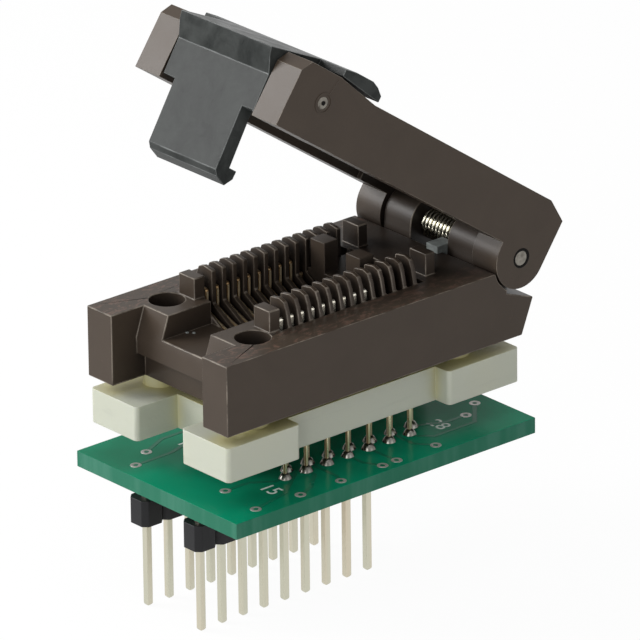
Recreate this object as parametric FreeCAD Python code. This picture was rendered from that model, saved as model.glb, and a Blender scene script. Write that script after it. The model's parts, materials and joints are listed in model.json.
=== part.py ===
import FreeCAD, Part
import math
import os

vec = FreeCAD.Vector

# Plug pins, two rows on the 2.54 mm grid
pin_pitch = 2.54
pins_per_row = 9
row_spacing = 7.62
pin_side = 0.64
pin_tip_chamfer = 0.2
pin_free_length = 8.5

# Header strips that hold the plug pins
header_width = 2.54
header_height = 2.6
header_notch = 0.5
header_gap = 1.08

# Circuit board
board_front = -12.11
board_length = 36.6
board_width = 22.86
board_thickness = 1.57

# Solder joints
tail_solder_height = 0.7
tail_solder_radius = 0.73
pin_solder_height = 0.6
pin_solder_radius = 0.85
solder_neck = 0.12
solder_sides = 6

# Stamped contacts, one tail and one spring arm each
contact_pitch = 1.27
contacts_per_side = 14
first_contact_x = -1.95
outer_tail_y = 6.40
tail_stagger = 1.27
contact_width = 0.4
contact_thickness = 0.3
tail_under_board = 1.0
contact_run_rise = 1.1
contact_inner_y = 1.0
arm_root_depth = 2.95
arm_end_y = 4.6
arm_end_depth = 1.5
arm_sag = 0.12
arm_steps = 3
head_inner_y = 4.3
head_outer_y = 5.95
head_inner_rise = 0.6
head_outer_rise = 0.8
head_inner_depth = 1.75
head_outer_depth = 1.15
head_bevel = 0.15
low_contact_drop = 1.55

# Spacer plate between board and socket
spacer_gap = 3.35
spacer_thickness = 3.4
spacer_front = -11.65
spacer_back = 23.95
spacer_side_inset = 0.1
spacer_block_length = 8.75
spacer_waist_half_width = 7.95
spacer_notch_half_width = 3.18
spacer_notch_depth = 4.95
spacer_edge_radius = 0.45
spacer_hole_clearance = 0.08

# Socket base
foot_height = 1.2
foot_radius = 1.5
foot_front_x = -6.0
foot_back_x = 18.6
foot_y = 6.6
base_height = 7.0
base_front = -11.75
base_half_width = 9.92
base_bottom_back = 24.24
ledge_back = 25.64
ledge_back_rise = 3.5
ledge_front = 22.4
ledge_front_rise = 4.68
slot_half_width = 6.45
slot_end = -7.8

# Catch bar between the front prongs
catch_front = -8.78
catch_top_drop = 2.9
catch_lip_height = 1.6
catch_underside_slope = 0.08

# Funnel and cavity for the package
channel_half_width = 3.0
channel_floor_drop = 2.25
cavity_front = -2.6
cavity_back = 15.3
cavity_half_width = 4.1
cavity_floor_drop = 2.4
cavity_floor_half_width = 1.6
cavity_step_drop = 0.9

# Comb ribs between the contacts
rib_thickness = 0.45
rib_inner_rise = 2.35
rib_crown_y = 5.3
rib_crown_rise = 2.55
rib_shoulder_y = 6.05
rib_shoulder_rise = 2.3
rib_side_y = 6.38
rib_side_rise = 1.5
rib_foot_y = 6.71
comb_slot_inner_y = 0.7
comb_slot_floor = 0.75
front_post_x = -3.6
front_post_inner_y = 4.2
front_post_rise = 2.1
rear_block_front = 15.9
rear_block_back = 17.0
rear_block_inner_y = 3.6
rear_block_outer_y = 5.9
rear_block_rise = 2.2

# Round holes in the base top
hole_x = -5.35
hole_y = 6.1
hole_diameter = 3.4
hole_depth = 5.0

# Hinge
hinge_x = 24.09
hinge_rise = 0.77
hinge_pin_radius = 0.82
hinge_clearance = 0.05
lug_radius = 2.6
lug_inner_y = 2.6
lug_outer_y = 6.4
lug_foot_front = 21.2
ear_radius = 3.0
ear_scoop_clearance = 0.2

# Hinge spring
spring_wire = 0.36
spring_radius = 1.45
spring_turns = 10
spring_sides = 4

# Package stop
stop_front = 9.9
stop_block_length = 1.7
stop_back = 15.0
stop_half_width = 3.95
stop_block_inner_y = 1.5
stop_block_outer_y = 3.5
stop_top_rise = 2.7
stop_plate_drop = 0.35
stop_floor_clearance = 0.1
stop_wing_drop = 1.0

# Lid, sizes taken from the hinge axis with the lid closed and level
lid_open_angle = 35.2
lid_half_width = base_half_width
lid_inner_y = 6.5
lid_length = 36.35
lid_edge_back = 0.56
lid_edge_front = 0.28
lid_top = 6.1
lid_nose_top = 6.9
lid_nose_chamfer = 0.8
lid_nose_chamfer_drop = 1.1
lid_nose_length = 4.95
lid_ramp_length = 5.5
lid_back_chamfer_start = 0.46
lid_back_chamfer_drop = 1.2
lid_plate_underside = 3.6
lid_plate_setback = 6.55
lid_comb_room_y = 7.0
lid_comb_room_setback = 7.85
lid_comb_room_back = 7.0

# Pressure pad under the lid
pad_setback = 10.35
pad_length = 13.4
pad_half_width = 3.6
pad_drop = 1.0
pad_edge_radius = 0.3

# Latch, reaches taken forward and heights taken up from its pin with the lid closed and level
latch_pin_setback = 4.25
latch_pin_height = 4.05
latch_pin_radius = 0.6
latch_clearance = 0.05
latch_hub_radius = 1.7
latch_head_half_width = 6.35
latch_stem_half_width = 4.73
latch_crest_reach = 5.45
latch_crest = 2.6
latch_brow_reach = 5.2
latch_brow = 1.8
latch_face_reach = 4.3
latch_face = 0.25
latch_shoulder_reach = 4.1
latch_shoulder = -3.3
latch_back_reach = 2.6
latch_back = -1.05
latch_toe_reach = 3.65
latch_toe = -9.55
latch_toe_bevel = 0.5
hook_root_reach = 2.1
hook_tip_reach = 1.12
hook_top = -8.85
hook_tip_height = 0.8
hook_bottom_reach = 1.8
hook_bottom = -10.5
grip_setback = 0.07
grip_front_reach = -0.9
grip_front_top = 3.7
grip_crown_front_reach = -2.4
grip_crown_back_reach = -4.8
grip_back_reach = -6.48
grip_back_round = 0.85
grip_top = 3.9
grip_underside_front = 3.0
grip_underside_back = 2.42

# Latch spring
latch_spring_wire = 0.32
latch_spring_radius = 1.15
latch_spring_turns = 4
latch_pocket_half_width = 1.5
latch_pocket_radius = 1.75

# Heights worked out from the stack
board_bottom = pin_free_length + header_height + header_gap
board_top = board_bottom + board_thickness
spacer_bottom = board_top + spacer_gap
spacer_top = spacer_bottom + spacer_thickness
spacer_half_width = base_half_width - spacer_side_inset
base_bottom = spacer_top + foot_height
base_top = base_bottom + base_height
hinge_z = base_top + hinge_rise
slot_half_length = (contact_pitch - rib_thickness) / 2
comb_front = first_contact_x - slot_half_length
comb_slot_outer_y = outer_tail_y + contact_thickness / 2 + spacer_hole_clearance
lid_ramp_front = lid_length - lid_nose_length
lid_ramp_back = lid_ramp_front - lid_ramp_length
lid_plate_front = lid_length - lid_plate_setback
lid_comb_room_front = lid_length - lid_comb_room_setback
pad_front = lid_length - pad_setback
latch_pin_x = hinge_x - lid_length + latch_pin_setback
latch_pin_z = hinge_z + latch_pin_height


def box(x0, x1, y0, y1, z0, z1):
    return Part.makeBox(x1 - x0, y1 - y0, z1 - z0, vec(x0, y0, z0))


def prism(corners, direction):
    return Part.Face(Part.makePolygon(corners + corners[:1])).extrude(direction)


def prism_y(outline, y0, y1):
    return prism([vec(x, y0, z) for x, z in outline], vec(0, y1 - y0, 0))


def prism_x(outline, x0, x1):
    return prism([vec(x0, y, z) for y, z in outline], vec(x1 - x0, 0, 0))


def prism_z(outline, z0, z1):
    return prism([vec(x, y, z0) for x, y in outline], vec(0, 0, z1 - z0))


def rod_y(radius, x, z, y0, y1):
    return Part.makeCylinder(radius, y1 - y0, vec(x, y0, z), vec(0, 1, 0))


def both_sides(shape):
    return [shape, shape.mirror(vec(0, 0, 0), vec(0, 1, 0))]


def joined(first, others):
    return first.fuse(others).removeSplitter()


def contact_x(index):
    return first_contact_x + index * contact_pitch


def tail_y(index):
    return outer_tail_y - tail_stagger * (index % 2)


def pin_x(index):
    return (index - (pins_per_row - 1) / 2) * pin_pitch


def tail_places():
    for index in range(contacts_per_side):
        for side in (-1, 1):
            yield contact_x(index), side * tail_y(index)


# The space that one tail takes up, widened by a clearance
def tail_block(x, y, clearance, z0, z1):
    half_x = contact_width / 2 + clearance
    half_y = contact_thickness / 2 + clearance
    return box(x - half_x, x + half_x, y - half_y, y + half_y, z0, z1)


# A square pin with a chamfered tip, standing in its header strip
def plug_pin(x, y):
    half = pin_side / 2
    pin = box(x - half, x + half, y - half, y + half, 0, board_bottom)
    tip_edges = [edge for edge in pin.Edges if edge.BoundBox.ZMax < half]
    return pin.makeChamfer(pin_tip_chamfer, tip_edges)


# A breakaway strip, one eight-sided block for each pin
def header_strip(y):
    reach = header_width / 2
    flat = reach - header_notch
    near_side = []
    for index in range(pins_per_row):
        middle = pin_x(index)
        near_side += [(middle - pin_pitch / 2, y - flat), (middle - flat, y - reach)]
        near_side += [(middle + flat, y - reach), (middle + pin_pitch / 2, y - flat)]
    far_side = [(x, 2 * y - side_y) for x, side_y in reversed(near_side)]
    outline = []
    for corner in near_side + far_side:
        if not outline or corner != outline[-1]:
            outline.append(corner)
    strip = prism_z(outline, pin_free_length, pin_free_length + header_height)
    half = pin_side / 2
    holes = [box(pin_x(index) - half, pin_x(index) + half, y - half, y + half,
                 pin_free_length, pin_free_length + header_height) for index in range(pins_per_row)]
    return strip.cut(holes)


def circuit_board():
    board = box(board_front, board_front + board_length, -board_width / 2, board_width / 2,
                board_bottom, board_top)
    return board.cut([tail_block(x, y, 0, board_bottom, board_top) for x, y in tail_places()])


def polygon(radius, sides, centre):
    corners = [centre + vec(radius * math.cos(2 * math.pi * step / sides),
                            radius * math.sin(2 * math.pi * step / sides), 0) for step in range(sides)]
    return Part.makePolygon(corners + corners[:1])


def solder_cone(x, y, z0, z1, radius0, radius1):
    low = polygon(radius0, solder_sides, vec(x, y, z0))
    high = polygon(radius1, solder_sides, vec(x, y, z1))
    faces = [Part.Face(low), Part.Face(high)]
    for first, second in zip(low.Edges, high.Edges):
        foot, top = first.Vertexes, second.Vertexes
        faces.append(Part.Face(Part.makePolygon([foot[0].Point, foot[1].Point, top[1].Point,
                                                 top[0].Point, foot[0].Point])))
    return Part.Solid(Part.Shell(faces))


# Solder cones round the tails above the board and round the plug pins below it
def solder_joints():
    joints = []
    for x, y in tail_places():
        top = board_top + tail_solder_height
        cone = solder_cone(x, y, board_top, top, tail_solder_radius, contact_width / 2 + solder_neck)
        joints.append(cone.cut(tail_block(x, y, 0, board_top, top)))
    half = pin_side / 2
    low = board_bottom - pin_solder_height
    for index in range(pins_per_row):
        for y in (-row_spacing / 2, row_spacing / 2):
            x = pin_x(index)
            cone = solder_cone(x, y, low, board_bottom, half * math.sqrt(2) + solder_neck, pin_solder_radius)
            joints.append(cone.cut(box(x - half, x + half, y - half, y + half, low, board_bottom)))
    return Part.makeCompound(joints)


def offset_line(path, distance):
    line = []
    for index, point in enumerate(path):
        before = path[max(index, 1)] - path[max(index, 1) - 1]
        after = path[index + 1] - point if index + 1 < len(path) else before
        across = vec(0, before.z, -before.y).normalize()
        turned = across + vec(0, after.z, -after.y).normalize()
        line.append(point + turned * (distance / turned.dot(across)))
    return line


# One strip of metal: tail, run under the comb, riser and sprung arm
def contact_strip(index, end_z):
    tail = tail_y(index)
    run_z = base_bottom + contact_run_rise
    root = vec(0, contact_inner_y, base_top - arm_root_depth)
    end = vec(0, arm_end_y, end_z)
    sag = vec(0, end.z - root.z, root.y - end.y).normalize() * arm_sag
    path = [vec(0, tail, board_bottom - tail_under_board), vec(0, tail, run_z),
            vec(0, contact_inner_y, run_z)]
    for step in range(arm_steps + 1):
        along = step / arm_steps
        path.append(root + (end - root) * along + sag * (4 * along * (1 - along)))
    half = contact_thickness / 2
    return [(point.y, point.z) for point in offset_line(path, half) + offset_line(path, -half)[::-1]]


# The strip with the upright blade at its end that the package lead lies on
def contact(index, side):
    level = base_top - (low_contact_drop if contact_x(index) > stop_front - contact_pitch / 2 else 0)
    head = [(head_inner_y, -head_inner_depth), (head_inner_y, head_inner_rise - head_bevel),
            (head_inner_y + head_bevel, head_inner_rise), (head_outer_y - head_bevel, head_outer_rise),
            (head_outer_y, head_outer_rise - head_bevel), (head_outer_y, -head_outer_depth),
            (arm_end_y + contact_thickness, -head_inner_depth)]
    x0 = contact_x(index) - contact_width / 2
    x1 = x0 + contact_width
    strip = prism_x(contact_strip(index, level - arm_end_depth), x0, x1)
    solid = joined(strip, [prism_x([(y, level + z) for y, z in head], x0, x1)])
    return solid if side > 0 else solid.mirror(vec(0, 0, 0), vec(0, 1, 0))


# Dog-bone plate with a square hole for each tail
def spacer_plate():
    front_block = spacer_front + spacer_block_length
    back_block = spacer_back - spacer_block_length
    wide = spacer_half_width
    waist = spacer_waist_half_width
    notch = spacer_notch_half_width
    half_outline = [(spacer_front + spacer_notch_depth, notch), (spacer_front, notch),
                    (spacer_front, wide), (front_block, wide), (front_block, waist),
                    (back_block, waist), (back_block, wide), (spacer_back, wide),
                    (spacer_back, notch), (spacer_back - spacer_notch_depth, notch)]
    outline = half_outline + [(x, -y) for x, y in reversed(half_outline)]
    plate = prism_z(outline, spacer_bottom, spacer_top)
    upright = [edge for edge in plate.Edges if edge.BoundBox.ZLength > spacer_thickness / 2
               and abs(edge.Vertexes[0].Y) > waist + spacer_edge_radius
               or edge.BoundBox.ZLength > spacer_thickness / 2
               and edge.Vertexes[0].X in (spacer_front, spacer_back)]
    plate = plate.makeFillet(spacer_edge_radius, upright)
    return plate.cut([tail_block(x, y, spacer_hole_clearance, spacer_bottom, spacer_top)
                      for x, y in tail_places()])


# The moulded block, with its rear face leaning out to the ledge behind the ears
def base_block():
    ledge = [(ledge_front, base_top), (ledge_front, base_bottom + ledge_front_rise),
             (ledge_back, base_bottom + ledge_back_rise), (base_bottom_back, base_bottom)]
    prong_outline = [(base_front, base_bottom), (base_front, base_top)] + ledge
    lip_top = base_top - catch_top_drop
    lip_bottom = lip_top - catch_lip_height
    middle_outline = [(slot_end, base_bottom), (slot_end, lip_bottom - catch_underside_slope),
                      (catch_front, lip_bottom), (catch_front, lip_top), (slot_end, base_top)] + ledge
    side = prism_y(prong_outline, slot_half_width, base_half_width)
    middle = prism_y(middle_outline, -slot_half_width, slot_half_width)
    block = joined(middle, both_sides(side))
    scoop = rod_y(ear_radius + ear_scoop_clearance, hinge_x, hinge_z, -base_half_width, base_half_width)
    return block.cut(scoop)


# Lugs that carry the hinge pin, inside the ears of the lid
def hinge_lug():
    eye = rod_y(lug_radius, hinge_x, hinge_z, lug_inner_y, lug_outer_y)
    foot = prism_y([(lug_foot_front, base_bottom + ledge_back_rise),
                    (ledge_back, base_bottom + ledge_back_rise),
                    (hinge_x + lug_radius, hinge_z), (hinge_x - lug_radius, hinge_z)],
                   lug_inner_y, lug_outer_y)
    return eye.fuse(foot)


def comb_wall():
    outline = [(cavity_half_width, base_top - cavity_step_drop),
               (cavity_half_width, base_top + rib_inner_rise),
               (rib_crown_y, base_top + rib_crown_rise),
               (rib_shoulder_y, base_top + rib_shoulder_rise),
               (rib_side_y, base_top + rib_side_rise),
               (rib_foot_y, base_top), (rib_foot_y, base_top - cavity_step_drop)]
    return prism_x(outline, comb_front, contact_x(contacts_per_side - 1) - slot_half_length)


def comb_slots():
    slots = []
    for index in range(contacts_per_side):
        x0 = contact_x(index) - slot_half_length
        x1 = x0 + 2 * slot_half_length
        slots.append(box(x0, x1, comb_slot_inner_y, comb_slot_outer_y,
                         base_bottom + comb_slot_floor, base_top))
        slots.append(box(x0, x1, cavity_half_width - contact_thickness, rib_foot_y,
                         base_top, base_top + rib_crown_rise))
    return slots


def package_cavity():
    floor = base_top - cavity_floor_drop
    step = base_top - cavity_step_drop
    right = [(cavity_floor_half_width, floor), (cavity_half_width, step), (cavity_half_width, base_top)]
    outline = right + [(-y, z) for y, z in reversed(right)]
    return prism_x(outline, cavity_front, cavity_back)


def tail_holes_in_base():
    return [tail_block(x, y, spacer_hole_clearance, base_bottom, base_bottom + comb_slot_floor)
            for x, y in tail_places()]


def socket_base():
    post = box(front_post_x, comb_front, front_post_inner_y, slot_half_width,
               base_top - cavity_step_drop, base_top + front_post_rise)
    rear_block = box(rear_block_front, rear_block_back, rear_block_inner_y, rear_block_outer_y,
                     base_top - cavity_step_drop, base_top + rear_block_rise)
    feet = [Part.makeCylinder(foot_radius, foot_height, vec(x, foot_y, spacer_top))
            for x in (foot_front_x, foot_back_x)]
    channel = box(catch_front, cavity_front, -channel_half_width, channel_half_width,
                  base_top - channel_floor_drop, base_top)
    added = []
    for piece in [comb_wall(), post, rear_block, hinge_lug()] + feet:
        added += both_sides(piece)
    body = base_block().cut([channel, package_cavity()])
    body = body.fuse(added)
    removed = tail_holes_in_base()
    hole = Part.makeCylinder(hole_diameter / 2, hole_depth, vec(hole_x, hole_y, base_top - hole_depth))
    removed += both_sides(hole)
    for slot in comb_slots():
        removed += both_sides(slot)
    removed.append(rod_y(hinge_pin_radius, hinge_x, hinge_z, -base_half_width, base_half_width))
    return body.cut(removed).removeSplitter()


# Sits in the cavity behind the last contact in use
def package_stop():
    floor = base_top - cavity_floor_drop + stop_floor_clearance
    top = base_top - stop_plate_drop
    right = [(cavity_floor_half_width - stop_wing_drop / 2, floor),
             (stop_half_width, base_top - stop_wing_drop + stop_floor_clearance), (stop_half_width, top)]
    plate = prism_x(right + [(-y, z) for y, z in reversed(right)], stop_front, stop_back)
    block = box(stop_front, stop_front + stop_block_length, stop_block_inner_y, stop_block_outer_y,
                top, base_top + stop_top_rise)
    return joined(plate, both_sides(block))


def hinge_pin():
    return rod_y(hinge_pin_radius, hinge_x, hinge_z, -lid_half_width, lid_half_width)


# A coil along Y between two faces at plus and minus the half length
def coil(x, z, radius, wire, turns, half_length):
    height = 2 * half_length - wire
    helix = Part.makeHelix(height / turns, height, radius)
    section = polygon(wire / 2, spring_sides, vec(0, 0, 0))
    section.rotate(vec(0, 0, 0), vec(1, 0, 0), 90)
    section.translate(vec(radius, 0, 0))
    spring = Part.Wire(helix).makePipeShell([section], True, True)
    spring.translate(vec(0, 0, -height / 2))
    spring.rotate(vec(0, 0, 0), vec(1, 0, 0), -90)
    spring.translate(vec(x, 0, z))
    return spring


def lid_wall():
    nose = [(-ear_radius, 0), (-ear_radius, lid_edge_back), (-lid_length, lid_edge_front),
            (-lid_length, lid_nose_top - lid_nose_chamfer_drop),
            (-lid_length + lid_nose_chamfer, lid_nose_top), (-lid_ramp_front, lid_nose_top)]
    tail = [(-lid_ramp_back, lid_top), (lid_back_chamfer_start, lid_top),
            (ear_radius, lid_top - lid_back_chamfer_drop), (ear_radius, 0)]
    outline = [(hinge_x + x, hinge_z + z) for x, z in nose + tail]
    wall = prism_y(outline, lid_inner_y, lid_half_width)
    ear = rod_y(ear_radius, hinge_x, hinge_z, lid_inner_y, lid_half_width)
    return joined(wall, [ear])


def lid_ramp_z(x):
    along = (lid_ramp_front - x) / (lid_ramp_front - lid_ramp_back)
    return lid_nose_top + (lid_top - lid_nose_top) * along


def lid_plate():
    outline = [(-lid_plate_front, lid_plate_underside), (-lid_plate_front, lid_ramp_z(lid_plate_front)),
               (-lid_ramp_back, lid_top), (lid_back_chamfer_start, lid_top),
               (ear_radius, lid_top - lid_back_chamfer_drop), (ear_radius, lid_plate_underside)]
    return prism_y([(hinge_x + x, hinge_z + z) for x, z in outline], -lid_inner_y, lid_inner_y)


def opened(shape):
    shape.rotate(vec(hinge_x, 0, hinge_z), vec(0, 1, 0), lid_open_angle)
    return shape


def socket_lid():
    lid = joined(lid_plate(), both_sides(lid_wall()))
    comb_room = box(hinge_x - lid_comb_room_front, hinge_x - lid_comb_room_back,
                    -lid_comb_room_y, lid_comb_room_y,
                    hinge_z, hinge_z + lid_plate_underside)
    hinge_hole = rod_y(hinge_pin_radius + hinge_clearance, hinge_x, hinge_z,
                       -lid_half_width, lid_half_width)
    pin_hole = rod_y(latch_pin_radius, latch_pin_x, latch_pin_z, -lid_half_width, lid_half_width)
    return opened(lid.cut([comb_room, hinge_hole, pin_hole]))


def pressure_pad():
    front = hinge_x - pad_front
    underside = hinge_z + lid_plate_underside
    pad = box(front, front + pad_length, -pad_half_width, pad_half_width, underside - pad_drop, underside)
    upright = [edge for edge in pad.Edges if edge.BoundBox.ZLength > pad_drop / 2]
    return opened(pad.makeFillet(pad_edge_radius, upright))


# T-shaped latch: hub and head between the prongs, stem with hook, grip over the walls
def latch():
    hub = latch_hub_radius
    head = [(latch_crest_reach, latch_crest), (latch_brow_reach, latch_brow), (latch_face_reach, latch_face),
            (latch_shoulder_reach, latch_shoulder), (latch_back_reach, latch_shoulder),
            (latch_back_reach, latch_back), (0, -hub), (-hub, 0), (-hub, grip_front_top),
            (grip_front_reach, grip_front_top)]
    stem = [(latch_shoulder_reach, latch_shoulder), (latch_toe_reach, latch_toe),
            (latch_toe_reach - latch_toe_bevel, latch_toe - latch_toe_bevel),
            (hook_bottom_reach, hook_bottom), (hook_tip_reach, hook_top - hook_tip_height),
            (hook_tip_reach, hook_top), (hook_root_reach, hook_top), (latch_back_reach, latch_shoulder),
            (latch_back_reach, latch_back), (latch_shoulder_reach, latch_back)]
    grip = [(grip_front_reach, grip_underside_front), (grip_front_reach, grip_front_top),
            (grip_crown_front_reach, grip_top), (grip_crown_back_reach, grip_top),
            (grip_back_reach + grip_back_round, grip_top - grip_back_round / 3),
            (grip_back_reach, grip_top - grip_back_round), (grip_back_reach, grip_underside_back)]

    def slab(outline, half_width):
        return prism_y([(latch_pin_x - reach, latch_pin_z + height) for reach, height in outline],
                       -half_width, half_width)

    def round_bar(radius, half_width):
        return rod_y(radius, latch_pin_x, latch_pin_z, -half_width, half_width)

    body = joined(slab(head, latch_head_half_width),
                  [slab(stem, latch_stem_half_width), slab(grip, lid_half_width - grip_setback),
                   round_bar(hub, latch_head_half_width)])
    pocket = round_bar(latch_pocket_radius, latch_pocket_half_width)
    bore = round_bar(latch_pin_radius + latch_clearance, latch_head_half_width)
    return opened(body.cut([pocket, bore]))


def latch_pin():
    return opened(rod_y(latch_pin_radius, latch_pin_x, latch_pin_z, -lid_half_width, lid_half_width))


def all_nodes():
    nodes = {}
    for row, y in enumerate((-row_spacing / 2, row_spacing / 2)):
        for index in range(pins_per_row):
            nodes[f"plug_pin_{row * pins_per_row + index + 1}"] = plug_pin(pin_x(index), y)
    nodes["header_near"] = header_strip(-row_spacing / 2)
    nodes["header_far"] = header_strip(row_spacing / 2)
    nodes["circuit_board"] = circuit_board()
    nodes["solder_joints"] = solder_joints()
    for row, side in enumerate((-1, 1)):
        for index in range(contacts_per_side):
            nodes[f"contact_{row * contacts_per_side + index + 1}"] = contact(index, side)
    nodes["spacer_plate"] = spacer_plate()
    nodes["socket_base"] = socket_base()
    nodes["package_stop"] = package_stop()
    nodes["hinge_pin"] = hinge_pin()
    nodes["hinge_spring"] = coil(hinge_x, hinge_z, spring_radius, spring_wire, spring_turns, lug_inner_y)
    nodes["socket_lid"] = socket_lid()
    nodes["pressure_pad"] = pressure_pad()
    nodes["latch"] = latch()
    nodes["latch_pin"] = latch_pin()
    nodes["latch_spring"] = opened(coil(latch_pin_x, latch_pin_z, latch_spring_radius,
                                        latch_spring_wire, latch_spring_turns, latch_pocket_half_width))
    return nodes


os.makedirs("parts", exist_ok=True)
for name, shape in all_nodes().items():
    shape.exportStep(f"parts/{name}.step")
    print(name, shape.isValid(), len(shape.Solids), round(shape.Volume, 2))
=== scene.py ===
import bmesh
import bpy
import json
import math
from mathutils import Matrix, Vector


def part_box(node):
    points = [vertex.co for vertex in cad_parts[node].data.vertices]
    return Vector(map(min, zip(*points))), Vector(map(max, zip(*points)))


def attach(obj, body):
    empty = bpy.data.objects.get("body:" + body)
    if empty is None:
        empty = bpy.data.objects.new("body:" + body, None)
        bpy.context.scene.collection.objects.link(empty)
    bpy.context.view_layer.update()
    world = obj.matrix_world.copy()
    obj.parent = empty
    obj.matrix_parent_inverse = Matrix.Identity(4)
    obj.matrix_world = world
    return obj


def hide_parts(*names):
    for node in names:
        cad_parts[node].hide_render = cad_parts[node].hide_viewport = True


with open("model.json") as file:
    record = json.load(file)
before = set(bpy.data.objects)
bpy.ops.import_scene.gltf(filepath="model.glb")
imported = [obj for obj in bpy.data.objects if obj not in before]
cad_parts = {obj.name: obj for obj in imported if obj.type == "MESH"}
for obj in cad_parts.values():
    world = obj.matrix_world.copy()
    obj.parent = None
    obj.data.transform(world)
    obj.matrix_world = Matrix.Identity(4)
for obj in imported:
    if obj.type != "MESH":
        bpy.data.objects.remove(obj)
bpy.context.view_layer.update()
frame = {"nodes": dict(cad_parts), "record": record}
nodes = frame["nodes"]
mm = 0.001
print("frame loaded,", len(nodes), "nodes")


# A shader socket that works in Python sums and makes any other node
class Wire:
    def __init__(self, tree, socket=None):
        self.tree = tree
        self.socket = socket

    def node(self, kind, settings=None, feeds=None, out=0):
        made = self.tree.nodes.new("ShaderNode" + kind)
        for name, value in (settings or {}).items():
            if name == "stops":
                while len(made.color_ramp.elements) < len(value):
                    made.color_ramp.elements.new(0.5)
                for element, (place, colour) in zip(made.color_ramp.elements, value):
                    element.position = place
                    element.color = (*colour, 1)
            else:
                setattr(made, name, value)
        for name, value in (feeds or {}).items():
            if isinstance(value, Wire):
                self.tree.links.new(value.socket, made.inputs[name])
            else:
                made.inputs[name].default_value = value
        return Wire(self.tree, made.outputs[out])

    def maths(self, operation, first, second=0.0):
        return self.node("Math", {"operation": operation}, {0: first, 1: second})

    def __add__(self, other):
        return self.maths("ADD", self, other)

    def __sub__(self, other):
        return self.maths("SUBTRACT", self, other)

    def __mul__(self, other):
        return self.maths("MULTIPLY", self, other)

    def __rsub__(self, other):
        return self.maths("SUBTRACT", other, self)

    def __abs__(self):
        return self.maths("ABSOLUTE", self)

    __radd__ = __add__
    __rmul__ = __mul__

    def above(self, edge, soft):
        return self.node("MapRange", {"interpolation_type": "SMOOTHSTEP"},
                         {"Value": self, "From Min": edge - soft, "From Max": edge + soft})

    # 1 where the surface lies open, down to 0 deep in a nook
    def opened(self, look):
        light = self.node("AmbientOcclusion", {"samples": 8}, {"Distance": look["nook"]}, 1)
        return light.above(*look["nookAbove"])

    def blend(self, low, high):
        return self.node("Mix", {"data_type": "RGBA"}, {0: self, 6: paint(low), 7: paint(high)}, 2)

    def noise(self, scale, detail=3.0, rough=0.55, warp=0.0):
        return self.node("TexNoise", {}, {"Vector": self, "Scale": scale, "Detail": detail,
                                          "Roughness": rough, "Distortion": warp})

    def axis(self, index):
        return self.node("SeparateXYZ", {}, {0: self}, index)

    def stretched(self, x, y, z):
        return self.node("Mapping", {}, {"Vector": self, "Scale": (x, y, z)})

    def bump(self, height, depth):
        return self.node("Bump", {}, {"Height": self * height, "Distance": depth})


def paint(colour):
    return colour if isinstance(colour, Wire) else (*colour, 1)


# A material with its Principled shader, and the wires that its patterns start from
def newMaterial(name, fixed):
    material = bpy.data.materials.new(name)
    material.use_nodes = True
    tree = material.node_tree
    tree.nodes.clear()
    output = tree.nodes.new("ShaderNodeOutputMaterial")
    shader = tree.nodes.new("ShaderNodeBsdfPrincipled")
    tree.links.new(shader.outputs[0], output.inputs[0])
    for socket, value in fixed.items():
        shader.inputs[socket].default_value = value
    start = Wire(tree)
    place = start.node("TexCoord", {}, {}, 3)
    facing = start.node("NewGeometry", {}, {}, 1)
    return material, shader, place, facing


def connect(shader, **feeds):
    sockets = {"colour": "Base Color", "rough": "Roughness", "normal": "Normal"}
    for name, feed in feeds.items():
        feed.tree.links.new(feed.socket, shader.inputs[sockets[name]])


# In the looks below a noise is its scale, detail, roughness and warp, a name with Above holds an edge and
# its softness, and one with Stretch a scale along X, Y and Z. Depths and distances are in metres.
# Dark brown moulding: fine spark-eroded grain, faint flow marks, reddish scuffs beside the combs, and painted
# shade that turns it a darker deep brown where the surface lies in a nook
brown = {"dark": (0.035, 0.025, 0.0175), "pale": (0.050, 0.037, 0.027), "scuff": (0.115, 0.070, 0.052),
         "deep": (0.014, 0.0105, 0.0085), "cloud": (210, 4, 0.6, 0.6), "grain": (5200, 2),
         "speck": (5200 / 3, 2), "speckAbove": (0.74, 0.03), "speckShare": 0.15,
         "mark": (1500, 5, 0.7, 1.2), "markStretch": (0.5, 1, 1), "markAbove": (0.56, 0.05),
         "asideAbove": (0.0066, 0.0002), "levelAbove": (0.8, 0.1), "rough": 0.36, "roughSwing": 0.12,
         "depth": 0.000005, "gloss": 0.2, "nook": 0.014, "nookAbove": (0.42, 0.3)}


def lifted(look, lift):
    return ([channel * lift for channel in look[shade]] for shade in ("dark", "pale"))


def makeBrownPlastic(name, lift, scuffs=0.0):
    material, shader, place, facing = newMaterial(name, {"IOR": 1.5, "Specular IOR Level": brown["gloss"]})
    cloud = place.noise(*brown["cloud"])
    grain = place.noise(*brown["grain"])
    speck = place.noise(*brown["speck"]).above(*brown["speckAbove"])
    aside = abs(place.axis(1)).above(*brown["asideAbove"])
    mark = place.stretched(*brown["markStretch"]).noise(*brown["mark"]).above(*brown["markAbove"])
    scuff = mark * aside * facing.axis(2).above(*brown["levelAbove"]) * scuffs
    body = cloud.blend(*lifted(brown, lift))
    marked = (speck * brown["speckShare"] + scuff).blend(body, brown["scuff"])
    # Painted shade: the deep brown is painted where the surface lies in a nook
    connect(shader, colour=place.opened(brown).blend(brown["deep"], marked),
            rough=cloud * brown["roughSwing"] + brown["rough"], normal=grain.bump(1.0, brown["depth"]))
    return material


# The same mouldings where a rounded edge is pale in places: partly rubbed wear, partly a painted highlight
# along the edge
edgeWearAndGlintLook = {"brown": ((0.050, 0.039, 0.030), (0.17, 0.145, 0.118)),
            "latch": ((0.035, 0.038, 0.037), (0.10, 0.106, 0.104)),
            "rubAndGlint": (420, 5, 0.65), "rubAndGlintAbove": (0.5, 0.14), "rough": 0.34, "roughSwing": 0.1,
            "nook": 0.0016, "nookAbove": (0.7, 0.16)}


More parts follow.
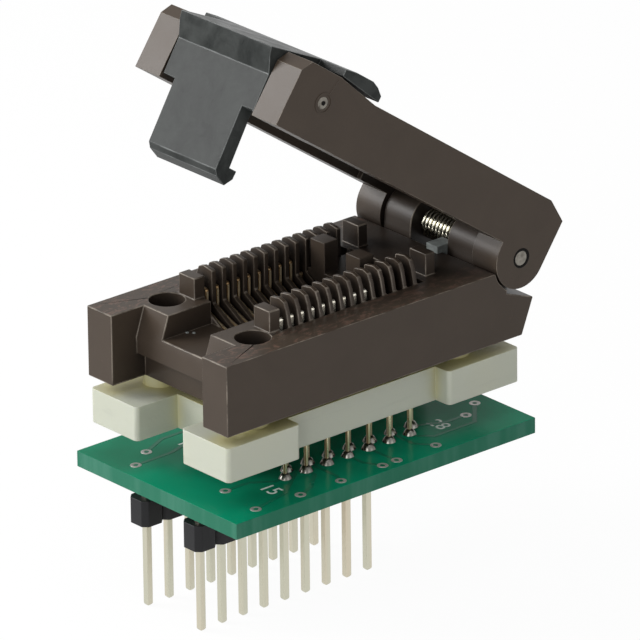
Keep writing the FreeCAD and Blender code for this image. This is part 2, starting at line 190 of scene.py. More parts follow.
def makeEdgeWearAndGlint(name, kind):
    material, shader, place, facing = newMaterial(name, {"IOR": 1.5, "Specular IOR Level": brown["gloss"]})
    # Painted highlight with wear: pale patches on the rounded edges, kept out of nooks
    rubbedAndGlinting = place.noise(*edgeWearAndGlintLook["rubAndGlint"]).above(*edgeWearAndGlintLook["rubAndGlintAbove"]) * place.opened(edgeWearAndGlintLook)
    connect(shader, colour=rubbedAndGlinting.blend(*edgeWearAndGlintLook[kind]),
            rough=rubbedAndGlinting * edgeWearAndGlintLook["roughSwing"] + edgeWearAndGlintLook["rough"])
    return material


# Grey-black glossy latch with cloudy mould bloom
latchLook = {"dark": (0.013, 0.0145, 0.014), "pale": (0.043, 0.046, 0.0445),
             "cloud": (330, 6, 0.66, 0.35), "bloomAbove": (0.5, 0.2), "bloomShare": 0.75,
             "streak": (900, 3), "streakStretch": (1, 1, 0.2), "streakShare": 0.25, "rough": 0.26,
             "bloomRough": 0.14, "relief": 0.6, "depth": 0.000004, "gloss": 0.045}


def makeLatchPlastic(name, lift):
    material, shader, place, facing = newMaterial(
        name, {"IOR": 1.52, "Specular IOR Level": latchLook["gloss"]})
    bloom = place.noise(*latchLook["cloud"]).above(*latchLook["bloomAbove"])
    streak = place.stretched(*latchLook["streakStretch"]).noise(*latchLook["streak"])
    grain = place.noise(*brown["grain"])
    mottle = bloom * latchLook["bloomShare"] + streak * latchLook["streakShare"]
    connect(shader, colour=mottle.blend(*lifted(latchLook, lift)),
            rough=bloom * latchLook["bloomRough"] + latchLook["rough"],
            normal=(grain + streak).bump(latchLook["relief"], latchLook["depth"]))
    return material


# Greenish white spacer moulding, a little see-through at its edges, with a painted warm yellow shade in its
# corners and where other parts come close
spacerLook = {"cool": (0.350, 0.372, 0.324), "warm": (0.380, 0.384, 0.298), "mark": (0.30, 0.305, 0.257),
              "deep": (0.46, 0.42, 0.19), "cloud": (90, 3), "grain": (2600, 2), "flow": (450, 4),
              "flowStretch": (0.25, 1, 4), "flowAbove": (0.64, 0.08), "flowShare": 0.3, "rough": 0.32,
              "roughSwing": 0.2, "depth": 0.000012, "nook": 0.0024, "nookAbove": (0.55, 0.35)}


def makeSpacerPlastic():
    material, shader, place, facing = newMaterial(
        "paleSpacerPlastic", {"Subsurface Weight": 0.15, "Subsurface Scale": 0.0015, "IOR": 1.5,
                              "Subsurface Radius": (1.0, 1.0, 0.7)})
    cloud = place.noise(*spacerLook["cloud"])
    grain = place.noise(*spacerLook["grain"])
    flow = place.stretched(*spacerLook["flowStretch"]).noise(*spacerLook["flow"])
    streak = flow.above(*spacerLook["flowAbove"])
    body = cloud.blend(spacerLook["cool"], spacerLook["warm"])
    marked = (streak * spacerLook["flowShare"]).blend(body, spacerLook["mark"])
    # Painted shade: a warm yellow tint is painted where the surface lies in a nook, for shaded light seen
    # through the plastic
    connect(shader, colour=place.opened(spacerLook).blend(spacerLook["deep"], marked),
            rough=grain * spacerLook["roughSwing"] + spacerLook["rough"],
            normal=grain.bump(1.0, spacerLook["depth"]))
    return material


# Solder mask on top and below, glass fibre and resin on the sawn edges
boardLook = {"mask": (0.002, 0.235, 0.125), "deep": (0.002, 0.135, 0.068), "edge": (0.024, 0.125, 0.078),
             "edgePale": (0.044, 0.152, 0.104), "cloud": (70, 3, 0.5, 0.4), "cloudAbove": (0.5, 0.25),
             "weave": (1600, 1), "weftStretch": (1, 0.15, 0.1), "warpStretch": (0.15, 1, 0.1),
             "streak": (420, 3, 0.6), "streakStretch": (1, 1, 0.08), "streakAbove": (0.55, 0.12),
             "streakRelief": 2, "levelAbove": (0.5, 0.1), "rough": 0.15, "cloudRough": 0.1, "edgeRough": 0.35,
             "depth": 0.000008, "gloss": 0.035}


def makeBoardMask():
    material, shader, place, facing = newMaterial(
        "greenSolderMask", {"IOR": 1.5, "Specular IOR Level": boardLook["gloss"]})
    cloud = place.noise(*boardLook["cloud"])
    weft = place.stretched(*boardLook["weftStretch"]).noise(*boardLook["weave"])
    warp = place.stretched(*boardLook["warpStretch"]).noise(*boardLook["weave"])
    side = 1 - abs(facing.axis(2)).above(*boardLook["levelAbove"])
    streak = place.stretched(*boardLook["streakStretch"]).noise(*boardLook["streak"])
    flat = cloud.above(*boardLook["cloudAbove"]).blend(boardLook["deep"], boardLook["mask"])
    sawn = streak.above(*boardLook["streakAbove"]).blend(boardLook["edge"], boardLook["edgePale"])
    relief = weft + warp + side * streak * boardLook["streakRelief"]
    connect(shader, colour=side.blend(flat, sawn), normal=relief.bump(1.0, boardLook["depth"]),
            rough=side * boardLook["edgeRough"] + cloud * boardLook["cloudRough"] + boardLook["rough"])
    return material


# Plated and drawn metals share one recipe: base, tarnish in spots, scratches along one axis
metalLooks = {
    "pinGold": {"base": (0.575, 0.565, 0.455), "tarnish": (0.66, 0.54, 0.41), "rough": 0.34, "metal": 1.0,
                "scratch": (1, 1, 0.02), "mottle": (0.5, 0.5, 0.04), "grain": 0.000003,
                "spots": 700, "tarnishFrom": 0.6},
    "contactGold": {"base": (0.84, 0.73, 0.50), "tarnish": (0.55, 0.41, 0.26), "rough": 0.28, "metal": 0.8,
                    "scratch": (1, 0.1, 0.1), "mottle": (0.4, 0.4, 0.2), "grain": 0.0000015,
                    "spots": 1100, "tarnishFrom": 0.62,
                    "deep": (0.20, 0.115, 0.06), "nook": 0.0025, "nookAbove": (0.42, 0.2)},
    "contactEdge": {"base": (0.25, 0.16, 0.075), "tarnish": (0.16, 0.10, 0.05), "rough": 0.3, "metal": 0.85,
                    "scratch": (1, 0.1, 0.1), "mottle": (0.4, 0.4, 0.2), "grain": 0.0000015,
                    "spots": 1100, "tarnishFrom": 0.62},
    # Painted highlight: paler and brighter than the contact metal, for the glints on the contact tips
    "tipSilverGlint": {"base": (0.88, 0.84, 0.72), "tarnish": (0.62, 0.54, 0.38), "rough": 0.2, "metal": 0.85,
                  "scratch": (1, 1, 0.2), "mottle": (1, 1, 0.4), "grain": 0.0000015,
                  "spots": 1500, "tarnishFrom": 0.6},
    "solderTin": {"base": (0.17, 0.165, 0.148), "tarnish": (0.06, 0.058, 0.05), "rough": 0.19, "metal": 1.0,
                  "scratch": (1, 1, 1), "mottle": (1, 1, 1), "grain": 0.000006,
                  "spots": 1500, "tarnishFrom": 0.6},
    "viaTin": {"base": (0.36, 0.35, 0.33), "tarnish": (0.20, 0.22, 0.19), "rough": 0.4, "metal": 0.6,
               "scratch": (1, 1, 1), "mottle": (1, 1, 1), "grain": 0.000004,
               "spots": 1500, "tarnishFrom": 0.6},
    "pinSteel": {"base": (0.22, 0.205, 0.18), "tarnish": (0.10, 0.09, 0.075), "rough": 0.36, "metal": 1.0,
                 "scratch": (1, 0.1, 1), "mottle": (1, 1, 1), "grain": 0.000006,
                 "spots": 2200, "tarnishFrom": 0.55},
    "springSteel": {"base": (0.50, 0.48, 0.39), "tarnish": (0.24, 0.22, 0.14), "rough": 0.16, "metal": 1.0,
                    "scratch": (1, 1, 1), "mottle": (1, 1, 1), "grain": 0.000002,
                    "spots": 1600, "tarnishFrom": 0.7}}
metalWear = {"spotDetail": (4, 0.6), "soft": 0.2, "tarnishShare": 0.7, "tarnishRough": 0.15,
             "scratch": (5000, 3, 0.6), "scratchRough": 0.12}


def makeMetal(name):
    look = metalLooks[name]
    material, shader, place, facing = newMaterial(name, {"Metallic": look["metal"]})
    spots = place.stretched(*look["mottle"]).noise(look["spots"], *metalWear["spotDetail"])
    patch = spots.above(look["tarnishFrom"], metalWear["soft"])
    scratch = place.stretched(*look["scratch"]).noise(*metalWear["scratch"])
    colour = (patch * metalWear["tarnishShare"]).blend(look["base"], look["tarnish"])
    # Painted shade: a look with a nook, that of the contacts, turns to its dark deep colour where the surface
    # lies in a nook
    if "nook" in look:
        colour = place.opened(look).blend(look["deep"], colour)
    wear = patch * metalWear["tarnishRough"] + scratch * metalWear["scratchRough"]
    connect(shader, colour=colour, rough=wear + (look["rough"] - metalWear["scratchRough"] / 2),
            normal=scratch.bump(1.0, look["grain"]))
    return material


# Plain black mouldings
blackLook = {"dark": (0.006, 0.006, 0.007), "pale": (0.014, 0.014, 0.015), "cloud": (600, 4),
             "grain": (4200, 2), "rough": 0.34, "roughSwing": 0.2, "depth": 0.00001, "gloss": 0.22}


def makeBlackPlastic():
    material, shader, place, facing = newMaterial(
        "blackMoulding", {"IOR": 1.5, "Specular IOR Level": blackLook["gloss"]})
    cloud = place.noise(*blackLook["cloud"])
    grain = place.noise(*blackLook["grain"])
    connect(shader, colour=cloud.blend(blackLook["dark"], blackLook["pale"]),
            rough=cloud * blackLook["roughSwing"] + blackLook["rough"],
            normal=grain.bump(1.0, blackLook["depth"]))
    return material


# Three plain coats: silkscreen ink, thin in places, painted shade for the dark inside of a hole, mask over a
# track
coats = {"whiteInk": {"from": (0.62, 0.68, 0.64), "to": (0.22, 0.42, 0.33), "noise": (2400, 3),
                      "above": (0.62, 0.08), "share": 0.5, "rough": 0.45, "roughSwing": 0.2, "fixed": {}},
         "paintedHoleShade": {"from": (0.004, 0.004, 0.004), "to": (0.012, 0.011, 0.010), "noise": (1500, 2),
                      "rough": 0.6, "roughSwing": 0.2, "fixed": {"Specular IOR Level": 0.05}},
         "trackUnderMask": {"from": (0.003, 0.10, 0.052), "to": (0.003, 0.14, 0.075), "noise": (300, 3),
                            "rough": 0.2, "roughSwing": 0.1,
                            "fixed": {"IOR": 1.5, "Specular IOR Level": 0.1}}}


def makeCoat(name):
    look = coats[name]
    material, shader, place, facing = newMaterial(name, look["fixed"])
    patch = place.noise(*look["noise"])
    if "above" in look:
        patch = patch.above(*look["above"])
    share = patch * look.get("share", 1.0)
    connect(shader, colour=share.blend(look["from"], look["to"]),
            rough=patch * look["roughSwing"] + look["rough"])
    return material


looks = {
    "socket_brown": makeBrownPlastic("brownSocketPlastic", 1.0, 0.75),
    "lid_brown": makeBrownPlastic("brownLidPlastic", 1.08),
    "latch_black": makeLatchPlastic("greyLatchPlastic", 1.0),
    "spacer_white": makeSpacerPlastic(),
    "board_green": makeBoardMask(),
    "pin_gold": makeMetal("pinGold"),
    "contact_gold": makeMetal("contactGold"),
    "solder": makeMetal("solderTin"),
    "pin_steel": makeMetal("pinSteel"),
    "spring_steel": makeMetal("springSteel"),
    "header_black": makeBlackPlastic(),
    "pad_black": makeBlackPlastic()}
inkLook = makeCoat("whiteInk")
paintedShadeLook = makeCoat("paintedHoleShade")
# Painted highlight: a pale grey copy of the latch plastic for the lit spring rest and the channel nubs
paleHighlightLook = makeLatchPlastic("greyHighlightPlastic", 6.5)
tipGlintLook = makeMetal("tipSilverGlint")
viaLook = makeMetal("viaTin")
edgeLooks = {"socket_base": makeEdgeWearAndGlint("socketEdgeWearAndGlint", "brown"),
             "socket_lid": makeEdgeWearAndGlint("lidEdgeWearAndGlint", "brown"),
             "latch": makeEdgeWearAndGlint("latchEdgeWearAndGlint", "latch"),
             "contact": makeMetal("contactEdge")}
print("materials made,", len(looks))


# Every CAD node gets its finish, and moulded ones get small rounded edges, in mm
edgeRounding = {"socket_base": 0.1, "socket_lid": 0.16, "latch": 0.2, "spacer_plate": 0.12,
                "circuit_board": 0.04, "package_stop": 0.08, "pressure_pad": 0.08, "hinge_pin": 0.12,
                "latch_pin": 0.08, "header_near": 0.06, "header_far": 0.06, "plug_pin": 0.07, "contact": 0.1}
sharpFrom = {"latch": 20, "others": 34}
edgeWork = {"weld": 0.002 * mm, "join": math.radians(0.5), "segments": 2}


# A wide rounding keeps its full width past short edges, and comes before the flat faces are joined
def roundEdges(node, width, angle, look, wide):
    join = ("DECIMATE", {"decimate_type": "DISSOLVE", "angle_limit": edgeWork["join"]})
    bevel = ("BEVEL", {"width": width * mm, "segments": edgeWork["segments"], "limit_method": "ANGLE",
                       "angle_limit": math.radians(angle), "use_clamp_overlap": not wide,
                       "material": 1 if look else -1})
    steps = (("WELD", {"merge_threshold": edgeWork["weld"]}), *((bevel, join) if wide else (join, bevel)),
             ("WEIGHTED_NORMAL", {"keep_sharp": True}))
    for kind, settings in steps:
        modifier = node.modifiers.new(kind.title(), kind)
        for name, value in settings.items():
            setattr(modifier, name, value)


def shadeSmooth(mesh, degrees):
    mesh.shade_smooth()
    mesh.set_sharp_from_angle(angle=math.radians(degrees))


def dressNodes():
    slots = {part["node"]: part["material_slot"] for part in frame["record"]["subparts"]}
    for name, node in nodes.items():
        node.data.materials.clear()
        node.data.materials.append(looks[slots[name]])
        angle = sharpFrom.get(name, sharpFrom["others"])
        kind = name.rstrip("0123456789").rstrip("_")
        edgeLook = edgeLooks.get(kind)
        if edgeLook:
            node.data.materials.append(edgeLook)
        if kind in edgeRounding:
            roundEdges(node, edgeRounding[kind], angle, edgeLook, kind == "socket_base")
        shadeSmooth(node.data, angle)


dressNodes()
print("CAD nodes dressed")


def addPiece(name, mesh, body, slot, material=None, replaced=()):
    piece = bpy.data.objects.new(name, mesh)
    bpy.context.scene.collection.objects.link(piece)
    mesh.materials.clear()
    mesh.materials.append(material or looks[slot])
    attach(piece, body)
    if replaced:
        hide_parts(*replaced)
    return piece


def meshFrom(name, shape, degrees=40):
    mesh = bpy.data.meshes.new(name)
    bmesh.ops.recalc_face_normals(shape, faces=shape.faces)
    shape.to_mesh(mesh)
    shape.free()
    shadeSmooth(mesh, degrees)
    return mesh


# Corners of a ring round the middle
def circle(radius, sides):
    turns = [2 * math.pi * k / sides for k in range(sides)]
    return [(radius * math.cos(turn), radius * math.sin(turn)) for turn in turns]


# Joins each ring of corners to the next with four-sided faces
def bridge(shape, rings):
    for low, high in zip(rings, rings[1:]):
        for k in range(len(low)):
            n = (k + 1) % len(low)
            shape.faces.new((low[k], low[n], high[n], high[k]))


# The same, closed by a flat face at each end
def tube(shape, rings):
    bridge(shape, rings)
    shape.faces.new(rings[0][::-1])
    shape.faces.new(rings[-1])


# Adds a turned shape round the Z axis from a list of (radius, height)
def lathe(shape, profile, middle, sides=24, matrix=Matrix()):
    tube(shape, [[shape.verts.new(matrix @ (middle + Vector((x, y, height))))
                  for x, y in circle(radius, sides)] for radius, height in profile])


# Adds a wire with a round section along a line of points
def wire(shape, line, radius, sides=10):
    rings = []
    for index, point in enumerate(line):
        before = line[max(index - 1, 0)]
        after = line[min(index + 1, len(line) - 1)]
        turn = (after - before).to_track_quat("Z", "Y")
        rings.append([shape.verts.new(point + turn @ Vector((x, y, 0))) for x, y in circle(radius, sides)])
    tube(shape, rings)


# The coil springs, turned round a pin that runs along Y
hingeCoil = {"turns": 10, "wireRadius": 0.18 * mm, "stepsPerTurn": 28}
latchCoil = {"turns": 4, "wireRadius": 0.16 * mm, "stepsPerTurn": 24}


def coilPiece(name, node, body, look):
    low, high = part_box(node)
    middle = (low + high) / 2
    radius = (high.x - low.x) / 2 - look["wireRadius"]
    half = (high.y - low.y) / 2 - look["wireRadius"]
    steps = look["turns"] * look["stepsPerTurn"]
    line = []
    for step in range(steps + 1):
        angle = 2 * math.pi * step / look["stepsPerTurn"]
        line.append(middle + Vector((radius * math.cos(angle), half * (2 * step / steps - 1),
                                     radius * math.sin(angle))))
    shape = bmesh.new()
    wire(shape, line, look["wireRadius"])
    return addPiece(name, meshFrom(name, shape, 60), body, "spring_steel", None, [node])


coilPiece("hingeSpringCoil", "hinge_spring", "base", hingeCoil)
coilPiece("latchSpringCoil", "latch_spring", "lid", latchCoil)
print("springs wound")


# Solder fillets with a domed flank, round each tail and each plug pin. Those of the tails differ in size
solderShape = {"tailFoot": 0.67 * mm, "tailNeck": 0.24 * mm, "tailHeight": 0.55 * mm, "tailPitch": 1.27 * mm,
               "tailRows": (6.40 * mm, 5.13 * mm), "firstTail": -1.95 * mm, "tails": 14,
               "pinFoot": 0.83 * mm, "pinNeck": 0.5 * mm, "pinHeight": 0.6 * mm, "pins": 9,
               "pinPitch": 2.54 * mm, "pinRow": 3.81 * mm, "dome": 0.58, "spread": 0.06, "spreadTurn": 5.1}


def filletProfile(foot, neck, height, steps=6):
    dome = solderShape["dome"]
    return [(neck + (foot - neck) * (1 - k / steps) ** dome, height * k / steps) for k in range(steps + 1)]


def solderFillets():
    boardLow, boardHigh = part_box("circuit_board")
    shape = bmesh.new()
    size = solderShape
    for index in range(size["tails"]):
        for side in (-1, 1):
            spot = Vector((size["firstTail"] + index * size["tailPitch"], side * size["tailRows"][index % 2],
                           boardHigh.z))
            swell = 1 + size["spread"] * math.sin(size["spreadTurn"] * index + side)
            profile = filletProfile(size["tailFoot"] * swell, size["tailNeck"], size["tailHeight"] * swell)
            lathe(shape, profile, spot)
    under = Matrix.Diagonal((1, 1, -1, 1))
    profile = filletProfile(size["pinFoot"], size["pinNeck"], size["pinHeight"])
    for index in range(size["pins"]):
        for side in (-1, 1):
            spot = Vector(((index - (size["pins"] - 1) / 2) * size["pinPitch"], side * size["pinRow"],
                           -boardLow.z))
            lathe(shape, profile, spot, 24, under)
    return addPiece("solderFillets", meshFrom("solderFillets", shape, 50), "base", "solder", None,
                    ["solder_joints"])


solderFillets()
print("solder run")


# Vias, tracks and pin numbers on the board, places in mm. A via's profile is radii and heights, also in mm
sunk = 0.01 * mm  # trim reaches this far into what it stands on
boardArt = {
    "vias": [(-7.93, -4.93), (-8.56, -9.97), (-3.41, -10.24), (1.43, -10.32), (-10.23, 5.15), (-7.55, 6.84),
             (6.59, -10.26), (8.36, -10.22), (13.34, -10.03), (20.07, -6.64), (22.58, -5.08)],
    "viaProfile": [(0.55, -0.01), (0.5335, 0.021), (0.4675, 0.03), (0.286, 0.03), (0.22, -0.005)],
    "trackWidth": 0.4 * mm, "trackHeight": 0.02 * mm, "trackStep": 0.002 * mm,
    "tracks": [[(-7.93, -4.93), (-5.2, -4.93), (-3.2, -6.4), (-1.95, -6.4)],
               [(-8.56, -9.97), (-4.2, -9.0), (-0.68, -6.3), (-0.68, -5.13)],
               [(-3.41, -10.24), (-1.6, -9.6), (0.59, -7.6), (0.59, -6.4)],
               [(1.43, -10.32), (1.86, -9.2), (1.86, -5.13)],
               [(6.59, -10.26), (5.67, -8.6), (5.67, -6.4)],
               [(8.36, -10.22), (8.21, -8.6), (8.21, -6.4)],
               [(13.34, -10.03), (12.02, -8.4), (12.02, -5.13)],
               [(20.07, -6.64), (17.4, -6.64), (14.56, -5.13)],
               [(22.58, -5.08), (19.6, -8.4), (14.6, -8.4), (13.29, -7.1), (13.29, -6.4)],
               [(-10.23, 5.15), (-6.0, 5.15), (-1.95, 6.4)],
               [(-7.55, 6.84), (-4.6, 8.2), (-2.0, 8.2), (-0.68, 6.6), (-0.68, 5.13)]],
    "numbers": [("15", (-4.7, -7.5), -90), ("1", (-3.6, 6.1), -90), ("14", (16.6, 6.3), -90),
                ("28", (16.7, -6.6), -90)],
    "numberSize": 2.2 * mm, "inkHeight": 0.02 * mm}


def addStrip(shape, start, end, width, low, high, steps=12):
    along = (end - start).normalized() * width / 2
    across = Vector((-along.y, along.x, 0))
    corners = []
    for tip, way in ((end, -1), (start, 1)):
        for k in range(steps + 1):
            angle = math.pi * k / steps
            corners.append(tip + (across * math.cos(angle) - along * math.sin(angle)) * way)
    tube(shape, [[shape.verts.new((corner.x, corner.y, z)) for corner in corners] for z in (low, high)])


def boardTracks():
    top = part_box("circuit_board")[1].z
    shape = bmesh.new()
    for route in boardArt["tracks"]:
        points = [Vector((x * mm, y * mm, 0)) for x, y in route]
        for step, (start, end) in enumerate(zip(points, points[1:])):
            high = top + boardArt["trackHeight"] + step * boardArt["trackStep"]
            addStrip(shape, start, end, boardArt["trackWidth"], top - sunk, high)
    return addPiece("boardTracks", meshFrom("boardTracks", shape, 30), "base", "board_green",
                    makeCoat("trackUnderMask"))


def boardVias():
    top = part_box("circuit_board")[1].z
    shape = bmesh.new()
    profile = [(radius * mm, height * mm) for radius, height in boardArt["viaProfile"]]
    for x, y in boardArt["vias"]:
        lathe(shape, profile, Vector((x * mm, y * mm, top)))
    return addPiece("boardVias", meshFrom("boardVias", shape, 35), "base", "solder", viaLook)


def boardNumbers():
    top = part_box("circuit_board")[1].z
    for words, (x, y), turn in boardArt["numbers"]:
        curve = bpy.data.curves.new("number" + words, "FONT")
        curve.body = words
        curve.size = boardArt["numberSize"]
        curve.extrude = boardArt["inkHeight"] / 2
        curve.align_x = "CENTER"
        curve.align_y = "CENTER"
        text = bpy.data.objects.new("number" + words, curve)
        bpy.context.scene.collection.objects.link(text)
        text.matrix_world = Matrix.Translation((x * mm, y * mm, top + boardArt["inkHeight"] / 2)) @ \
            Matrix.Rotation(math.radians(turn), 4, "Z")
        bpy.context.view_layer.update()
        mesh = bpy.data.meshes.new_from_object(text)
        mesh.transform(text.matrix_world)
        bpy.data.objects.remove(text)
        addPiece("pinNumber" + words, mesh, "base", "board_green", inkLook)


boardTracks()
boardVias()
boardNumbers()
print("board printed")


# Turned faces at the ends of the two pins, on both outer walls: shares of the pin's radius, heights in mm
pinFace = [(0.86, -0.05), (0.84, 0.025), (0.62, 0.05), (0.42, 0.03)]
pinEnds = {"hinge_pin": {"body": "base", "cup": (0.3, 0.01)},
           "latch_pin": {"body": "lid", "cup": (0.3, -0.12)}}


# Turns a lathe's axis out through the near (-1) or the far (1) wall
def outward(place, side):
    turn = Matrix.Rotation(-side * math.pi / 2, 4, "X")
    return Matrix.Translation((place.x, side * place.y, place.z)) @ turn


def pinEndFaces():
    for node, look in pinEnds.items():
        low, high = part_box(node)
        middle = (low + high) / 2
        middle.y = high.y
        radius = (high.z - low.z) / 2
        profile = [(radius * share, height * mm) for share, height in (*pinFace, look["cup"])]
        shape = bmesh.new()
        for side in (-1, 1):
            lathe(shape, profile, Vector(), 32, outward(middle, side))
        addPiece(node.replace("_pin", "PinFaces"), meshFrom(node, shape, 30), look["body"], "pin_steel")


pinEndFaces()
print("pin ends turned")


# Adds a bar along X (0) or Y (1) whose section is a closed line in the two other axes
def addBar(shape, section, start, end, along):
    def point(place, first, second):
        return (place, first, second) if along == 0 else (first, place, second)
    tube(shape, [[shape.verts.new(point(place, *corner)) for corner in section] for place in (start, end)])


# The curled end of each high contact, seen between the ribs just above the socket's top, in a paler, brighter
# metal than the contacts as a painted highlight
tipShape = {"first": -1.95 * mm, "pitch": 1.27 * mm, "count": 9, "width": 0.4 * mm, "inner": 5.9 * mm,
            "outer": 6.16 * mm, "foot": -0.25 * mm, "crown": 0.9 * mm, "steps": 6}


def contactTips(topZ):
    size = tipShape
    shape = bmesh.new()
    radius = size["outer"] - size["inner"]
    for side in (-1, 1):
        section = [(side * size["inner"], topZ + size["foot"]), (side * size["outer"], topZ + size["foot"])]
        for k in range(size["steps"] + 1):
            angle = math.pi / 2 * k / size["steps"]
            section.append((side * (size["inner"] + radius * math.cos(angle)),
                            topZ + size["crown"] - radius + radius * math.sin(angle)))
        for index in range(size["count"]):
            middle = size["first"] + index * size["pitch"]
            addBar(shape, section, middle - size["width"] / 2, middle + size["width"] / 2, 0)
    return addPiece("contactTips", meshFrom("contactTips", shape, 50), "base", "contact_gold", tipGlintLook)


# The rest that fills the round scoop below the spring on its near side, pale grey as a painted highlight;
# turns in degrees
restShape = {"front": 20.3 * mm, "near": -2.54 * mm, "far": -0.95 * mm, "rise": 0.72 * mm,
             "coilRoom": 1.76 * mm, "scoop": 3.2 * mm, "sunk": 0.02 * mm, "round": 0.1 * mm,
             "turns": (188, 232), "steps": 6}


def springRest(topZ):
    size = restShape
    low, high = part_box("hinge_pin")
    axis = (low + high) / 2
    foot, head = topZ - size["sunk"], topZ + size["rise"]
    section = [(axis.x - size["scoop"], foot), (size["front"], foot), (size["front"], head),
               (axis.x - size["coilRoom"], head)]
    first, last = size["turns"]
    turns = [math.radians(first + (last - first) * k / size["steps"]) for k in range(size["steps"] + 1)]
    for radius, angles in ((size["coilRoom"], turns), (size["scoop"] + size["sunk"], turns[:0:-1])):
        for angle in angles:
            section.append((axis.x + radius * math.cos(angle), axis.z + radius * math.sin(angle)))
    shape = bmesh.new()
    addBar(shape, section, size["near"], size["far"], 1)
    piece = addPiece("springRest", meshFrom("springRest", shape, 30), "base", "socket_brown", paleHighlightLook)
    rounded = piece.modifiers.new("Bevel", "BEVEL")
    rounded.width = size["round"]
    rounded.segments = 2
    rounded.limit_method = "ANGLE"


# Two tiny nubs in the front channel, pale grey as painted highlights, in mm
nubShape = {"places": [(-5.68, 2.86), (-5.28, 2.36)], "channelDepth": 2.25,
            "profile": [(0.17, -0.01), (0.153, 0.06), (0.085, 0.1)]}


def channelNubs(topZ):
    shape = bmesh.new()
    profile = [(radius * mm, height * mm) for radius, height in nubShape["profile"]]
    for x, y in nubShape["places"]:
        lathe(shape, profile, Vector((x * mm, y * mm, topZ - nubShape["channelDepth"] * mm)), 16)
    return addPiece("channelNubs", meshFrom("channelNubs", shape, 40), "base", "socket_brown", paleHighlightLook)


# Pale sleeves of the spacer round the four feet of the socket
sleeveShape = {"places": [(-6.0, 6.6), (18.6, 6.6)], "inner": 1.42 * mm, "outer": 1.56 * mm,
               "height": 1.2 * mm, "gap": 0.03 * mm}


def footSleeves():
    size = sleeveShape
    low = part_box("spacer_plate")[1].z
    profile = [(size["outer"], -sunk), (size["outer"], size["height"] - size["gap"] * 2),
               (size["inner"], size["height"] - size["gap"])]
    shape = bmesh.new()
    for x, y in size["places"]:
        for side in (-1, 1):
            lathe(shape, profile, Vector((x * mm, side * y * mm, low)), 36)
    return addPiece("footSleeves", meshFrom("footSleeves", shape, 40), "base", "spacer_white")


# Round the pin ends, in mm: at the hinge a flat dark ring of painted shade in the gap round the pin, and at
# the latch a fine raised ring with a straight mark and a dot of painted shade
ringShape = {"gap": {"inner": 0.7, "outer": 0.97, "rise": 0.012}, "gapShift": 0.09,
             "ring": {"inner": 0.86, "outer": 1.0, "rise": 0.05}, "markWidth": 0.1, "markTo": (1.95, 0, 1.75),
             "dot": 0.2, "dotRise": 0.07}


def flatRing(shape, centre, side, inner, outer, rise, sides=40):
    rings = []
    for radius, lift in ((inner, -sunk), (inner, rise * mm), (outer, rise * mm), (outer, -sunk)):
        rings.append([shape.verts.new((centre.x + x, side * (centre.y + lift), centre.z + z))
                      for x, z in circle(radius * mm, sides)])
    bridge(shape, rings + rings[:1])


def pinRings():
    size = ringShape
    gap = bmesh.new()
    ring = bmesh.new()
    hinge, latch = ((low + high) / 2 for low, high in (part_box("hinge_pin"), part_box("latch_pin")))
    hinge.x += size["gapShift"] * mm
    hinge.y = latch.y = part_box("socket_lid")[1].y
    dot = [(size["dot"] * mm, -sunk), (size["dot"] * mm, size["dotRise"] * mm)]
    for side in (-1, 1):
        flatRing(gap, hinge, side, **size["gap"])
        flatRing(ring, latch, side, **size["ring"])
        lathe(gap, dot, Vector(), 24, outward(latch, side))
        centre = Vector((latch.x, side * latch.y, latch.z))
        end = Vector(size["markTo"]) * mm
        start = end.normalized() * size["ring"]["outer"] * mm
        wire(ring, [centre + start, centre + (start + end) / 2, centre + end], size["markWidth"] / 2 * mm, 8)
    # Painted shade: the flat ring and the dot are a dark coat standing for shade
    addPiece("pinGapPaintedShade", meshFrom("pinGapPaintedShade", gap, 30), "lid", "lid_brown", paintedShadeLook)
    addPiece("latchPinRing", meshFrom("latchPinRing", ring, 30), "lid", "lid_brown")


# From the board's face up to the flat top of the socket, in mm
stackHeights = {"spacerGap": 3.35, "spacer": 3.4, "feet": 1.2, "base": 7.0}
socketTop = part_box("circuit_board")[1].z + sum(stackHeights.values()) * mm
contactTips(socketTop)
springRest(socketTop)
channelNubs(socketTop)
footSleeves()
pinRings()
print("small trim added")


# The floor and the light: the background is white to the camera and to reflections only
stageLook = {"floor": (0.80, 0.80, 0.80), "floorRough": 0.9, "floorHalf": 3.0, "worldStrength": 0.34,
             "whiteShare": 0.955,
             "lamps": [("leftSoftbox", (-0.30, -0.14, 0.13), 0.22, 0.56),
                       ("endSoftbox", (-0.21, 0.25, 0.20), 0.20, 1.72),
                       ("topSoftbox", (-0.02, -0.06, 0.36), 0.26, 0.30),
                       ("rightSoftbox", (0.10, -0.36, 0.10), 0.24, 0.20)],
             "target": (0.006, 0, 0.028)}


# Bounce light reaches the object softly, while the eye, gloss and clear parts meet plain white
def seenDirectly(start):
    straight, glossy, through = (start.node("LightPath", {}, {}, out) for out in (0, 3, 6))
    return start.node("Clamp", {}, {0: straight + glossy + through})


def makeFloor():
    shape = bmesh.new()
    bmesh.ops.create_grid(shape, x_segments=2, y_segments=2, size=stageLook["floorHalf"])
    floor = bpy.data.objects.new("paleFloor", meshFrom("paleFloor", shape))
    bpy.context.scene.collection.objects.link(floor)
    material, shader, place, facing = newMaterial("paleFloor", {"Roughness": stageLook["floorRough"]})
    tree = material.node_tree
    start = Wire(tree)
    shader.inputs["Base Color"].default_value = (*stageLook["floor"], 1)
    glow = start.node("Emission", {}, {"Color": (1, 1, 1, 1), "Strength": 1.0})
    share = seenDirectly(start) * stageLook["whiteShare"]
    mixed = start.node("MixShader", {}, {0: share, 1: Wire(tree, shader.outputs[0]), 2: glow})
    tree.links.new(mixed.socket, tree.nodes["Material Output"].inputs[0])
    floor.data.materials.append(material)


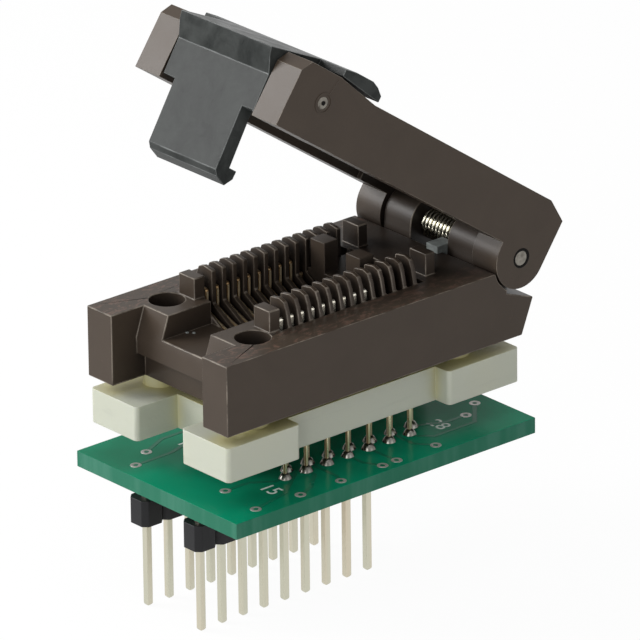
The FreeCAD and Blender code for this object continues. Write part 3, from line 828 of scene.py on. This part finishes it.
def makeWorld():
    world = bpy.data.worlds.new("studio")
    bpy.context.scene.world = world
    world.use_nodes = True
    tree = world.node_tree
    tree.nodes.clear()
    start = Wire(tree)
    seen = seenDirectly(start)
    soft = start.node("Background", {}, {"Color": (1, 1, 1, 1), "Strength": stageLook["worldStrength"]})
    white = start.node("Background", {}, {"Color": (1, 1, 1, 1), "Strength": 1.0})
    output = tree.nodes.new("ShaderNodeOutputWorld")
    tree.links.new(start.node("MixShader", {}, {0: seen, 1: soft, 2: white}).socket, output.inputs[0])


def makeLamps():
    target = Vector(stageLook["target"])
    for name, place, size, watts in stageLook["lamps"]:
        data = bpy.data.lights.new(name, "AREA")
        data.shape = "SQUARE"
        data.size = size
        data.energy = watts
        lamp = bpy.data.objects.new(name, data)
        bpy.context.scene.collection.objects.link(lamp)
        lamp.location = place
        lamp.rotation_euler = (target - Vector(place)).to_track_quat("-Z", "Y").to_euler()


# The camera stands where the photograph was taken from, found from the plug pins and the board
cameraLook = {"place": (-0.53955, -0.63994, 0.37739), "azimuth": -40.55, "elevation": 22.72, "roll": -0.71,
              "focalPixels": 9848, "imagePixels": 640, "sensor": 36.0, "clip": (0.05, 20)}


def makeCamera():
    look = cameraLook
    data = bpy.data.cameras.new("photoCamera")
    data.sensor_width = look["sensor"]
    data.lens = look["focalPixels"] / look["imagePixels"] * look["sensor"]
    data.clip_start, data.clip_end = look["clip"]
    camera = bpy.data.objects.new("photoCamera", data)
    bpy.context.scene.collection.objects.link(camera)
    azimuth, elevation, roll = (math.radians(look[k]) for k in ("azimuth", "elevation", "roll"))
    back = Vector((math.sin(azimuth) * math.cos(elevation), -math.cos(azimuth) * math.cos(elevation),
                   math.sin(elevation)))
    right = Vector((math.cos(azimuth), math.sin(azimuth), 0))
    up = back.cross(right)
    rolledRight = right * math.cos(roll) + up * math.sin(roll)
    rolledUp = up * math.cos(roll) - right * math.sin(roll)
    turn = Matrix((rolledRight, rolledUp, back)).transposed().to_4x4()
    camera.matrix_world = Matrix.Translation(look["place"]) @ turn
    bpy.context.scene.camera = camera


makeFloor()
makeWorld()
makeLamps()
makeCamera()
bpy.context.scene.view_settings.view_transform = "Standard"
print("stage and camera set")
